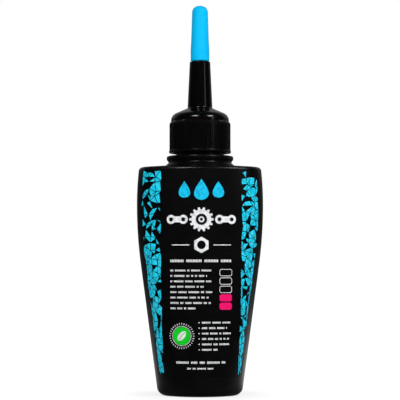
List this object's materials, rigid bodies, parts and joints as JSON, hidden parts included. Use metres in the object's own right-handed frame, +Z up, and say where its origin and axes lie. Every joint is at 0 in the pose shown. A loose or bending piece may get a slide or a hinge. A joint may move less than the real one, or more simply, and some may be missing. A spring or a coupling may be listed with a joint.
{
  "type": "chain lube bottle",
  "caption": "Flat oval squeeze bottle with a screw-on spout closure and a pull-off tip cap, for dripping oil on a bicycle chain.",
  "frame": {"origin": "middle of the standing ring, on the table", "axes": "+Z up along the neck and spout, X across the wide front, the printed front faces -Y"},
  "size_m": [0.0454, 0.0265, 0.1403],
  "materials": {
    "bottle_plastic": "black blow-moulded polyethylene with a satin skin",
    "closure_plastic": "black moulded polypropylene, glossy dome and spout, satin ribbed skirt",
    "washer_foam": "white soft foam",
    "tip_plastic": "bright blue soft polyethylene",
    "label_film": "black printed film with cyan, white, pink and green ink"
  },
  "bodies": {
    "bottle": {"bottle": "bottle_plastic", "front_label": "label_film"},
    "washer": {"sealing_washer": "washer_foam"},
    "closure": {"spout_cap": "closure_plastic"},
    "tip": {"tip_cap": "tip_plastic"}
  },
  "joints": [
    {"name": "washer_lift", "type": "slide", "parent": "bottle", "child": "washer", "axis": [0, 0, 1], "range_m": [0, 0.0048]},
    {"name": "cap_turn", "type": "hinge", "parent": "washer", "child": "closure", "pos_m": [0, 0, 0.0983], "axis": [0, 0, 1], "range_deg": [0, 540]},
    {"name": "tip_pull", "type": "slide", "parent": "closure", "child": "tip", "axis": [0, 0, 1], "range_m": [0, 0.02]}
  ],
  "couplings": [
    {"joint": "washer_lift", "follows": "cap_turn", "m_per_rad": 0.00050532}
  ]
}
